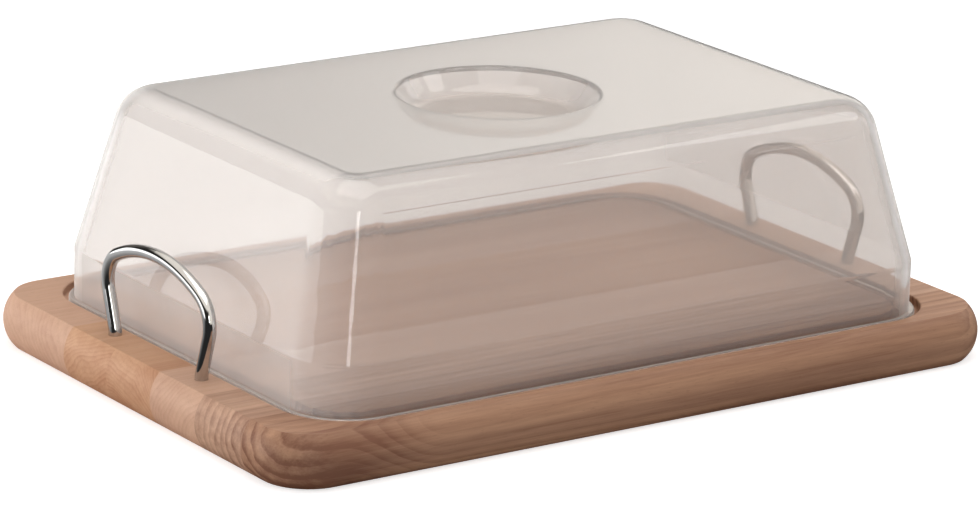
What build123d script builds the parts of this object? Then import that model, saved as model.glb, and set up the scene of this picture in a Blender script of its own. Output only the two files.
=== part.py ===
from build123d import *
import math
import os

# Cheese box: a beech board glued up from staves, with a routed groove that seats a clear moulded hood,
# and a bent wire handle at each end.
# Millimetres and degrees. +Z is up and +X runs along the board.
# The origin is the centre of the board's underside.

# Board
board_length = 380
board_width = 260
board_thickness = 24
board_corner_radius = 26
edge_bulge = 5
stave_count = 7

# Groove that the hood stands in, measured from the board's widest outline
end_rim = 22.5
side_rim = 10.5
groove_width = 12.5
groove_depth = 4
groove_corner_radius = 32
groove_root_radius = 1.2
groove_lip_radius = 0.6

# Hood: an upright skirt, then walls that draw in to a rounded crown
hood_height = 100
skirt_height = 25.5
hood_wall = 3
foot_gap = 5
end_draw_in = 18.3
side_draw_in = 16.7
crown_edge_radius = 17.5
crown_corner_extra = 4
crease_radius = 5
bead_height = 3
bead_proud = 2.5
bead_radius = 1

# Round grip dish sunk in the crown
grip_diameter = 92
grip_depth = 11
grip_wall_run = 8
grip_floor_radius = 9
grip_rim_radius = 2.2

# Wire handles
wire_diameter = 6
leg_spacing = 73
handle_height = 45
handle_lip_gap = 4.5
leg_lean = 18
leg_bend_radius = 12
shoulder_radius = 14.5
bow_radius = 80
leg_depth = 12
leg_fit = 0.06

# Screws that hold the handles from below
screw_diameter = 3
screw_grip = 8
screw_tip_room = 2
screw_fit = 0.05
screw_hole_clearance = 0.2
head_diameter = 5.8
head_height = 2.3
head_edge_radius = 0.9
counterbore_diameter = 8
counterbore_depth = 5
drive_span = 3.2
drive_width = 0.9
drive_depth = 1.2

# How far a cutting shape runs past the surface that it cuts, and what counts as the same height
overrun = 1
level_tolerance = 0.001

groove_length = board_length - 2 * end_rim
groove_breadth = board_width - 2 * side_rim
groove_floor = board_thickness - groove_depth
handle_place = groove_length / 2 + handle_lip_gap + wire_diameter / 2
leg_seat = board_thickness - leg_depth
hood_top = groove_floor + hood_height
crease_level = groove_floor + skirt_height
UP = (Align.CENTER, Align.CENTER, Align.MIN)


def level(height):
    """Sketch plane at a height above the board's underside."""
    return Plane.XY.offset(height)


def leg_places():
    """Centre of each of the four handle legs on the board's face."""
    return [
        (side * handle_place, row * leg_spacing / 2)
        for side in (-1, 1)
        for row in (-1, 1)
    ]


def edges_at(shape, height):
    """Edges of a shape that lie level at one height."""
    level_edges = shape.edges().filter_by(Plane.XY)
    return level_edges.filter_by(lambda edge: abs(edge.center().Z - height) < level_tolerance)


# Board

def board_blank():
    """Whole slab before it is routed: a flat core with a bulging edge swept round it."""
    core = RectangleRounded(
        board_length - 2 * edge_bulge,
        board_width - 2 * edge_bulge,
        board_corner_radius - edge_bulge,
    )
    route = core.wire()
    along = route % 0
    outward = along.cross(Vector(0, 0, 1))
    if outward.dot(route @ 0) < 0:
        outward = -outward
    edge_plane = Plane(origin=route @ 0, x_dir=outward, z_dir=outward.cross(Vector(0, 0, 1)))
    chord = Line((0, 0), (0, board_thickness))
    bulge = ThreePointArc((0, board_thickness), (edge_bulge, board_thickness / 2), (0, 0))
    edge = sweep(edge_plane * make_face([chord, bulge]), path=route)
    return extrude(core, board_thickness) + edge


def groove_cut():
    """Flat-bottomed ring that is routed out of the board's face."""
    outer = RectangleRounded(groove_length, groove_breadth, groove_corner_radius)
    inner = RectangleRounded(
        groove_length - 2 * groove_width,
        groove_breadth - 2 * groove_width,
        groove_corner_radius - groove_width,
    )
    ring = extrude(level(groove_floor) * (outer - inner), groove_depth + overrun)
    return fillet(edges_at(ring, groove_floor), groove_root_radius)


def leg_hole(x, y):
    """Blind socket for a handle leg, the screw's clearance hole below it and its counterbore."""
    socket = Pos(x, y, leg_seat) * Cylinder(wire_diameter / 2 + leg_fit, leg_depth + overrun, align=UP)
    hole = Pos(x, y, 0) * Cylinder(screw_diameter / 2 + screw_hole_clearance, leg_seat, align=UP)
    counterbore = Pos(x, y, -overrun) * Cylinder(
        counterbore_diameter / 2, counterbore_depth + overrun, align=UP
    )
    return socket + hole + counterbore


def board():
    """Routed and drilled slab."""
    slab = board_blank() - groove_cut()
    lips = [
        edge
        for edge in edges_at(slab, board_thickness)
        if abs(edge.center().X) <= groove_length / 2 and abs(edge.center().Y) <= groove_breadth / 2
    ]
    slab = fillet(lips, groove_lip_radius)
    for x, y in leg_places():
        slab -= leg_hole(x, y)
    return slab


def staves():
    """The slab divided along its glue lines, front stave first."""
    slab = board()
    stave_width = board_width / stave_count
    pieces = {}
    for number in range(stave_count):
        front = number * stave_width - board_width / 2
        strip = Pos(0, front, -overrun) * Box(
            board_length + 2 * overrun,
            stave_width,
            board_thickness + 2 * overrun,
            align=(Align.CENTER, Align.MIN, Align.MIN),
        )
        pieces[f"stave_{number + 1}"] = slab & strip
    return pieces


# Hood

def hood_outline(height, inset):
    """Rounded outline of the hood at one height, drawn in by the inset."""
    drawn_share = max(0, (height - crease_level) / (hood_top - crease_level))
    skirt_corner = groove_corner_radius - foot_gap
    crown_corner = crown_edge_radius + crown_corner_extra
    return level(height) * RectangleRounded(
        groove_length - 2 * (foot_gap + end_draw_in * drawn_share + inset),
        groove_breadth - 2 * (foot_gap + side_draw_in * drawn_share + inset),
        skirt_corner + (crown_corner - skirt_corner) * drawn_share - inset,
    )


def hood_side(low, high):
    """Leaning wall between two matching edges: flat between lines, and ruled round a corner."""
    if low.geom_type == GeomType.LINE:
        return Face(Wire.make_polygon([low @ 0, low @ 1, high @ 1, high @ 0]))
    return Face.make_surface_from_curves(low, high)


def hood_form(inset):
    """Solid bounded by the hood's outside where inset is 0, or by its inside where it is the wall."""
    skirt = extrude(hood_outline(groove_floor, inset), skirt_height)
    crown_level = hood_top - inset
    low = hood_outline(crease_level, inset)
    high = hood_outline(crown_level, inset)
    sides = [hood_side(*pair) for pair in zip(low.wire().edges(), high.wire().edges())]
    body = skirt + Solid(Shell([low.face(), high.face()] + sides))
    body = fillet(edges_at(body, crown_level), crown_edge_radius - inset)
    return fillet(edges_at(body, crease_level), crease_radius)


def grip_form(growth):
    """Dish of the grip, thickened outwards by the growth."""
    rim = grip_diameter / 2 + growth
    floor_level = hood_top - grip_depth - growth
    profile = Polyline(
        (0, floor_level),
        (rim - grip_wall_run, floor_level),
        (rim, hood_top),
        (rim, hood_top + overrun),
        (0, hood_top + overrun),
        close=True,
    )
    dish = revolve(make_face(Plane.XZ * profile), Axis.Z)
    return fillet(edges_at(dish, floor_level), grip_floor_radius + growth)


def hood():
    """Clear moulded hood with a beaded foot and a sunken round grip."""
    bead = extrude(hood_outline(groove_floor, -bead_proud), bead_height)
    bead = fillet(edges_at(bead, groove_floor + bead_height), bead_radius)
    shell = hood_form(0) + bead - (hood_form(hood_wall) - grip_form(hood_wall)) - grip_form(0)
    top_circles = edges_at(shell, hood_top).filter_by(GeomType.CIRCLE)
    return fillet(top_circles.sort_by(SortBy.RADIUS)[-1], grip_rim_radius)


# Handles

def handle_route():
    """Centreline of the bent wire: x is across the board, y is the height above its face."""
    lean = math.radians(leg_lean)
    reach = bow_radius - shoulder_radius
    bend_x = leg_spacing / 2 + leg_bend_radius * (1 - math.cos(lean))
    bend_y = leg_bend_radius * math.sin(lean)
    across = bend_x - shoulder_radius * math.cos(lean)
    above = bend_y + shoulder_radius * math.sin(lean) - (handle_height - bow_radius)
    mean = across * math.sin(lean) + above * math.cos(lean)
    straight = math.sqrt(mean**2 - across**2 - above**2 + reach**2) - mean
    bow_half_angle = math.degrees(math.asin((across + straight * math.sin(lean)) / reach))
    leg = Line((leg_spacing / 2, -leg_depth), (leg_spacing / 2, 0))
    bend = JernArc(leg @ 1, leg % 1, leg_bend_radius, -leg_lean)
    slope = Line(bend @ 1, bend @ 1 + (bend % 1) * straight)
    shoulder = JernArc(slope @ 1, slope % 1, shoulder_radius, leg_lean + 90 - bow_half_angle)
    bow = JernArc(shoulder @ 1, shoulder % 1, bow_radius, bow_half_angle)
    half = [leg, bend, slope, shoulder, bow]
    return Wire([part.edge() for part in half + [mirror(part, about=Plane.YZ) for part in half]])


def handle(side):
    """Wire handle at one end, with a tapped bore in each leg."""
    route = Plane.YZ.offset(side * handle_place) * Pos(0, board_thickness) * handle_route()
    wire = sweep(Plane(origin=route @ 0, z_dir=route % 0) * Circle(wire_diameter / 2), path=route)
    for row in (-1, 1):
        wire -= Pos(side * handle_place, row * leg_spacing / 2, leg_seat - overrun) * Cylinder(
            screw_diameter / 2 + screw_fit, overrun + screw_grip + screw_tip_room, align=UP
        )
    return wire


def handle_screw(x, y):
    """Round-headed screw driven up through the board into a handle leg."""
    head = Cylinder(head_diameter / 2, head_height, align=UP)
    head = fillet(edges_at(head, 0), head_edge_radius)
    for length, width in ((drive_span, drive_width), (drive_width, drive_span)):
        head -= Pos(0, 0, -overrun) * Box(length, width, drive_depth + overrun, align=UP)
    shank_length = leg_seat - counterbore_depth + screw_grip
    shank = Pos(0, 0, head_height) * Cylinder(screw_diameter / 2, shank_length, align=UP)
    return Pos(x, y, counterbore_depth - head_height) * (head + shank)


nodes = staves()
nodes["hood"] = hood()
nodes["handle_left"] = handle(-1)
nodes["handle_right"] = handle(1)
nodes["handle_screws"] = Compound(children=[handle_screw(x, y) for x, y in leg_places()])

os.makedirs("parts", exist_ok=True)
for name, shape in nodes.items():
    export_step(shape, f"parts/{name}.step")
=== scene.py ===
import math
import bpy
from mathutils import Matrix, Vector

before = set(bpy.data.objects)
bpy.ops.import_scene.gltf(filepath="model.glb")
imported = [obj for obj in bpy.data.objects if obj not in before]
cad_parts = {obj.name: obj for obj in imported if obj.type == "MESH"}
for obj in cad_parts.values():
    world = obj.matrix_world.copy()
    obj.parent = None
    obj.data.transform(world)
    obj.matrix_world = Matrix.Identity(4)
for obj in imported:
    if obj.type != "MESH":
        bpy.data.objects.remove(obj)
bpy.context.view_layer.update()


# Board
# Seven beech staves are glued edge to edge, then routed, rounded along the edge, sanded and oiled.
# The ends show curved growth rings, and the faces show fine grain with the short flecks of beech.

class Signal:
    """An output of a shader node. Sums, products and shares of signals add their Math nodes."""

    def __init__(self, nodes, socket):
        self.nodes = nodes
        self.socket = socket

    def make(self, kind, inputs=(), output=0, **settings):
        """Adds a node of a kind: its settings first, then the values or links of its sockets."""
        node = self.nodes.new(kind)
        for name, value in settings.items():
            setattr(node, name, value)
        for name, value in dict(inputs).items():
            if isinstance(value, Signal):
                self.nodes.id_data.links.new(value.socket, node.inputs[name])
            else:
                node.inputs[name].default_value = value
        return Signal(self.nodes, node.outputs[output])

    def math(self, operation, *values):
        return self.make("ShaderNodeMath", enumerate(values), operation=operation)

    def __add__(self, other):
        return self.math("ADD", self, other)

    def __radd__(self, other):
        return self.math("ADD", other, self)

    def __sub__(self, other):
        return self.math("SUBTRACT", self, other)

    def __rsub__(self, other):
        return self.math("SUBTRACT", other, self)

    def __mul__(self, other):
        return self.math("MULTIPLY", self, other)

    def __rmul__(self, other):
        return self.math("MULTIPLY", other, self)

    def __truediv__(self, other):
        return self.math("DIVIDE", self, other)

    def __pow__(self, other):
        return self.math("POWER", self, other)


def material(name, **sockets):
    """A new material, Object coordinates to paint it by, and its shader with the constants set."""
    made = bpy.data.materials.new(name)
    made.use_nodes = True
    nodes = made.node_tree.nodes
    shader = nodes["Principled BSDF"]
    for socket, value in sockets.items():
        shader.inputs[socket.replace("_", " ")].default_value = value
    place = Signal(nodes, nodes.new("ShaderNodeTexCoord").outputs["Object"])
    return made, place, shader


def plug(shader, **signals):
    """Links signals to the sockets of a shader."""
    for socket, signal in signals.items():
        shader.id_data.links.new(signal.socket, shader.inputs[socket.replace("_", " ")])


def mixed(share, low, high):
    """Colour between two colours or colour signals."""
    return share.make("ShaderNodeMix", {0: share, 6: low, 7: high}, output=2, data_type="RGBA")


def axis(place, number):
    """One coordinate of a place: 0 is along the board, 1 across it and 2 up."""
    return place.make("ShaderNodeSeparateXYZ", {0: place}, output=number)


def distance(place, centre=(0, 0, 0)):
    return place.make(
        "ShaderNodeVectorMath", {0: place, 1: centre}, output="Value", operation="DISTANCE"
    )


def stretched(place, x, y, z, shift=(0, 0, 0)):
    """Coordinates scaled along each axis, so that a pattern runs long where the scale is small."""
    return place.make(
        "ShaderNodeMapping", {"Vector": place, "Scale": (x, y, z), "Location": shift}
    )


def noise(place, detail, roughness=0.5):
    return place.make(
        "ShaderNodeTexNoise",
        {"Vector": place, "Scale": 1.0, "Detail": detail, "Roughness": roughness},
    )


def smooth_step(signal, low, high):
    return signal.make(
        "ShaderNodeMapRange",
        {"Value": signal, "From Min": low, "From Max": high},
        interpolation_type="SMOOTHSTEP",
    )


ring_wander, ring_ripple = 0.024, 0.0028
late_start, late_peak = 0.25, 0.9
figure_and_shade_core, figure_and_shade_reach, figure_push = 0.015, 0.07, 0.02
fleck_low, fleck_high = 0.66, 0.74
fleck_brown = (0.22, 0.1, 0.055, 1)
pore_depth = 0.0001


def beech(name, pith_y, pith_z, ring, light, dark, depth, seed, figure_and_shade=None):
    """Oiled beech cut from a log whose rings centre on the pith, a line along the board.

    The ring is the width of a year's growth, and the depth is how dark its late wood shows on the
    ends. A figure is a dark place that the grain swirls round; its darkening is partly a dark
    streak of the wood and partly painted shade.
    """
    made, place, shader = material(name, IOR=1.48)
    wander = noise(stretched(place, 1.6, 22, 22, (seed, 0, 0)), 2.0)
    ripple = noise(stretched(place, 9, 110, 110, (0, seed, 0)), 3.0)
    across = axis(place, 1) - pith_y
    above = axis(place, 2) - pith_z
    radius = (across * across + above * above) ** 0.5 + wander * ring_wander + ripple * ring_ripple
    cloud = noise(stretched(place, 5, 30, 30, (0, 0, seed)), 3.0)
    share = (cloud - 0.5) * 1.1 + 0.35
    if figure_and_shade:
        # Partly painted shade: the darkening round the figure also stands in for the shade on the
        # front left corner.
        swirl_and_shade = 1 - smooth_step(distance(place, figure_and_shade) + wander * 0.03, figure_and_shade_core, figure_and_shade_reach)
        radius = radius + swirl_and_shade * figure_push
        share = share + swirl_and_shade * 0.5
    turns = radius / ring
    season = turns.math("FRACT", turns)
    late = smooth_step(season, late_start, late_peak) * (1 - smooth_step(season, late_peak, 1.0))
    number = turns.math("FLOOR", turns)
    year = noise(turns.make("ShaderNodeCombineXYZ", {0: number * 0.37, 1: seed}), 0)
    fibre = noise(stretched(place, 60, 1300, 1300), 4.0, 0.6)
    streak = noise(stretched(place, 8, 260, 260, (seed, 0, 0)), 2.0)
    speck = noise(stretched(place, 260, 1900, 1900, (seed, seed, 0)), 1.0)
    fleck = smooth_step(speck, fleck_low, fleck_high)
    endwise = axis(place.make("ShaderNodeTexCoord", output="Normal"), 0)
    endwise = endwise.math("ABSOLUTE", endwise)
    share = share + late * year * depth * (0.3 + endwise * 0.7) + (year - 0.5) * 0.5
    share = share + (fibre - 0.5) * 0.5 + (streak - 0.5) * 0.8
    body = mixed(share, (*light, 1), (*dark, 1))
    grain = body.make(
        "ShaderNodeBump",
        {"Height": fibre + fleck * -0.6, "Distance": pore_depth, "Strength": 0.3},
    )
    plug(
        shader,
        Base_Color=mixed(fleck * 0.25, body, fleck_brown),
        Roughness=0.45 + fibre * 0.16 + late * 0.05,
        Normal=grain,
    )
    return made


def dress(node, finish):
    """Gives a CAD node its finish."""
    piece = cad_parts[node]
    piece.data.materials.clear()
    piece.data.materials.append(finish)
    return piece


peach, tan, pale = (0.64, 0.36, 0.21), (0.60, 0.34, 0.205), (0.68, 0.42, 0.285)
brown, orange, rose = (0.23, 0.095, 0.052), (0.45, 0.20, 0.10), (0.54, 0.30, 0.2)
# Front stave first: its pith across and up, its ring, its light and dark colours, and its depth.
staves = {
    "stave_1": (-0.142, 0.036, 0.0046, tan, brown, 1.1),
    "stave_2": (-0.150, 0.020, 0.0052, pale, brown, 0.7),
    "stave_3": (-0.090, -0.020, 0.0028, pale, rose, 0.4),
    "stave_4": (0.022, -0.030, 0.0019, peach, orange, 0.45),
    "stave_5": (0.022, -0.030, 0.0019, peach, orange, 0.45),
    "stave_6": (0.140, -0.018, 0.0032, pale, rose, 0.4),
    "stave_7": (0.150, -0.045, 0.0036, pale, rose, 0.4),
}
seed_step = 1.7
# The figure sits at the front left corner. Its darkening is partly a dark streak of the wood and
# partly painted shade.
corner_figure_and_shade = (-0.165, -0.128, 0.012)
for number, (node, cut) in enumerate(staves.items()):
    figure_and_shade = corner_figure_and_shade if node == "stave_1" else None
    dress(node, beech(f"beech_{number + 1}", *cut, number * seed_step, figure_and_shade))


# Handles
# Each is one length of drawn steel wire, bent to a bow, then polished and bright plated.
# Its legs stand in blind sockets of the board.

plated, place, shader = material("plated_wire", Metallic=1.0)
smear = noise(stretched(place, 160, 160, 60), 3.0)
plug(
    shader,
    Base_Color=mixed(smear, (0.5, 0.5, 0.5, 1), (0.6, 0.6, 0.6, 1)),
    Roughness=0.05 + smear * 0.06,
)
for side in ("left", "right"):
    dress(f"handle_{side}", plated)


# Screws
# Four plain zinc screws come up through the board from counterbores in its underside.
# They pull the handles' legs down into their sockets.

zinc, place, shader = material("zinc_steel", Metallic=1.0)
brushed = noise(stretched(place, 2400, 2400, 500), 2.0)
plug(
    shader,
    Base_Color=mixed(brushed, (0.5, 0.5, 0.5, 1), (0.66, 0.66, 0.65, 1)),
    Roughness=0.3 + brushed * 0.2,
)
dress("handle_screws", zinc)


# Hood
# One moulding of clear, faintly smoky plastic, polished on both sides, with a sunken round grip.
# Its thick foot stands in the groove. Foot and dish are tinted with painted see-through wood
# colour.

bead_top = 0.023
dish_inner, dish_outer = 0.032, 0.044
dish_low, dish_high = 0.1, 0.104
clear, place, shader = material(
    "clear_plastic",
    Transmission_Weight=0.86,
    IOR=1.4,
    Sheen_Weight=1.0,
    Sheen_Roughness=0.5,
    Sheen_Tint=(1, 0.96, 0.92, 1),
)
haze = noise(stretched(place, 9, 9, 9), 3.0)
height = axis(place, 2)
# Painted wood colour: the foot's brown tint stands in for the wood of the groove seen through the
# plastic.
painted_foot_wood = 1 - smooth_step(height, bead_top - 0.0002, bead_top + 0.0015)
# Painted wood colour in the dish: a browner tint stands in for the wood seen through its floor.
from_middle = distance(stretched(place, 1, 1, 0))
inside_rim = 1 - smooth_step(from_middle, dish_inner, dish_outer)
painted_dish_wood = inside_rim * smooth_step(height, dish_low, dish_high)
tint = mixed(haze, (0.955, 0.915, 0.89, 1), (0.98, 0.945, 0.92, 1))
# Painted see-through wood colour in the dish and on the foot, laid over the plastic's own faint
# tint.
tint = mixed(painted_dish_wood, tint, (0.9, 0.82, 0.765, 1))
tint = mixed(painted_foot_wood, tint, (0.76, 0.6, 0.5, 1))
plug(shader, Base_Color=tint, Roughness=0.035 + haze * 0.02)
hood = dress("hood", clear)

# The foot's underside lies in the plane of the groove floor, so it is raised by a hair.
groove_floor = 0.02
level_tolerance = 0.00001
hair = 0.00005
foot = hood.vertex_groups.new(name="foot")
underside = [v.index for v in hood.data.vertices if v.co.z < groove_floor + level_tolerance]
foot.add(underside, 1, "REPLACE")
raised = hood.modifiers.new("raised_foot", "DISPLACE")
raised.direction = "Z"
raised.vertex_group = "foot"
raised.mid_level = 0
raised.strength = hair


# Camera
# It stands before the left front corner of the board, a little above the hood, with a long lens.

focal_pixels = 4949.81
image_width = 980
camera_place = (-1.21567, -1.75549, 0.67665)
yaw, pitch, roll = 0.6049, 0.2876, 0.0243
camera_data = bpy.data.cameras.new("camera")
camera_data.sensor_width = 36
camera_data.lens = focal_pixels / image_width * camera_data.sensor_width
camera = bpy.data.objects.new("camera", camera_data)
camera.matrix_world = (
    Matrix.Translation(camera_place)
    @ Matrix.Rotation(-yaw, 4, "Z")
    @ Matrix.Rotation(math.pi / 2 - pitch, 4, "X")
    @ Matrix.Rotation(roll, 4, "Z")
)
bpy.context.collection.objects.link(camera)
bpy.context.scene.camera = camera


# Studio
# A pale floor runs out of sight before a white backdrop. Where a polished surface mirrors them, the
# floor before the box is dark, and the backdrop is bright only overhead, behind the box and before
# its right end. That gives the plated wire its light and dark bands.

def seen(nodes, ray):
    """1 for rays of the named kind, and 0 for the rest."""
    return Signal(nodes, nodes.new("ShaderNodeLightPath").outputs[ray])


def mirrored(nodes):
    """1 for rays that a surface mirrors, and 0 for rays that have passed through clear plastic."""
    glossy = seen(nodes, "Is Glossy Ray") - seen(nodes, "Is Transmission Ray")
    return glossy.math("MAXIMUM", glossy, 0.0)


bpy.ops.mesh.primitive_plane_add(size=12)
floor = bpy.context.active_object
floor.name = "floor"
near_glow, far_glow, glow_through_hood = 0.62, 1.12, 0.36
paper, place, shader = material(
    "paper", Roughness=0.9, Specular_IOR_Level=0, Emission_Color=(1, 1, 1, 1)
)
nodes = place.nodes
before = 1 - smooth_step(axis(place, 1), -0.02, 0.2)
white = near_glow + smooth_step(distance(place), 0.8, 2.5) * (far_glow - near_glow)
through_hood = seen(nodes, "Is Transmission Ray") * glow_through_hood
plug(
    shader,
    Base_Color=mixed(mirrored(nodes) * before, (0.8, 0.8, 0.8, 1), (0.04, 0.04, 0.04, 1)),
    Emission_Strength=seen(nodes, "Is Camera Ray") * white + through_hood,
)
floor.data.materials.append(paper)

world = bpy.data.worlds.new("studio")
bpy.context.scene.world = world
world.use_nodes = True
nodes = world.node_tree.nodes
toward = Signal(nodes, nodes.new("ShaderNodeTexCoord").outputs["Generated"])


def facing(direction):
    """Cosine between a ray and a direction."""
    return toward.make(
        "ShaderNodeVectorMath", {0: toward, 1: direction}, output="Value", operation="DOT_PRODUCT"
    )


upward = facing((0, 0, 1))
behind = smooth_step(facing((0.45, 0.89, 0)), 0.72, 0.88) * smooth_step(upward, 0.08, 0.24)
to_right = smooth_step(facing((0.82, -0.57, 0)), -0.12, 0.12)
before = smooth_step(facing((0.6, -0.8, 0)), 0.3, 0.7) * smooth_step(upward, -0.02, 0.06)
overhead = smooth_step(upward, 0.45, 0.65)
echo = 0.03 + behind * (0.12 + to_right * 2.2) + before * 1.2
echo = echo.math("MAXIMUM", echo, overhead * 1.3)
fill, backdrop_through_hood = 0.16, 0.52
plain = seen(nodes, "Is Camera Ray")
plain = plain.math("MAXIMUM", plain, seen(nodes, "Is Transmission Ray") * backdrop_through_hood)
glossy = mirrored(nodes)
plug(
    nodes["Background"],
    Color=mixed(glossy, (1, 1, 1, 1), (1, 0.935, 0.85, 1)),
    Strength=plain.math("MAXIMUM", plain, fill + glossy * (echo - fill)),
)


def panel(name, at, aim, width, height, radiance, through=False):
    """Soft rectangular light that faces the aim and isn't seen by the camera."""
    light = bpy.data.lights.new(name, "AREA")
    light.shape = "RECTANGLE"
    light.size, light.size_y = width, height
    light.energy = radiance * width * height * math.pi
    lamp = bpy.data.objects.new(name, light)
    bpy.context.collection.objects.link(lamp)
    lamp.location = at
    lamp.rotation_euler = (Vector(aim) - Vector(at)).to_track_quat("-Z", "Y").to_euler()
    lamp.visible_camera = False
    lamp.visible_transmission = through
    return lamp


# A long panel stands on the floor off the left end. Mirror images show a dimmer card in its place.
left = panel("left_panel", (-0.86, 0.55, 0.145), (-0.17, -0.03, 0.145), 1.5, 0.28, radiance=4.6)
left.visible_glossy = False
bpy.ops.mesh.primitive_plane_add(size=1)
card = bpy.context.active_object
card.name = "left_card"
card.location, card.rotation_euler = left.location, left.rotation_euler
card.scale = (left.data.size, left.data.size_y, 1)
card.visible_camera = card.visible_diffuse = card.visible_transmission = card.visible_shadow = False
glow, place, shader = material(
    "glow", Base_Color=(0, 0, 0, 1), Emission_Color=(1, 1, 1, 1), Emission_Strength=2.3
)
card.data.materials.append(glow)

# The haze of the hood's left wall catches a small light of its own.
hazy = bpy.data.collections.new("hazy")
hazy.objects.link(hood)
low = panel("haze_panel", (-0.5, -0.1, 0.03), (-0.17, -0.08, 0.06), 0.3, 0.1, radiance=14.0)
low.visible_glossy = False
low.light_linking.receiver_collection = hazy
low.light_linking.blocker_collection = hazy

# A broad panel hangs overhead, two smaller ones stand off the right end, and a strip by the camera.
panel("overhead_panel", (-0.1, -0.1, 1.6), (0, -0.05, 0), 1.6, 1.6, radiance=1.9, through=True)
panel("right_panel", (1.5, 0.0, 0.62), (0, 0, 0.1), 1.0, 0.6, radiance=1.2)
panel("crown_panel", (0.98, -0.42, 1.05), (0.1, -0.09, 0.115), 0.5, 0.4, radiance=3.4)
panel("camera_strip", (-1.0, -1.73, 0.5), (0, 0, 0.1), 0.24, 0.6, radiance=9.0)

bpy.context.scene.view_settings.view_transform = "Standard"
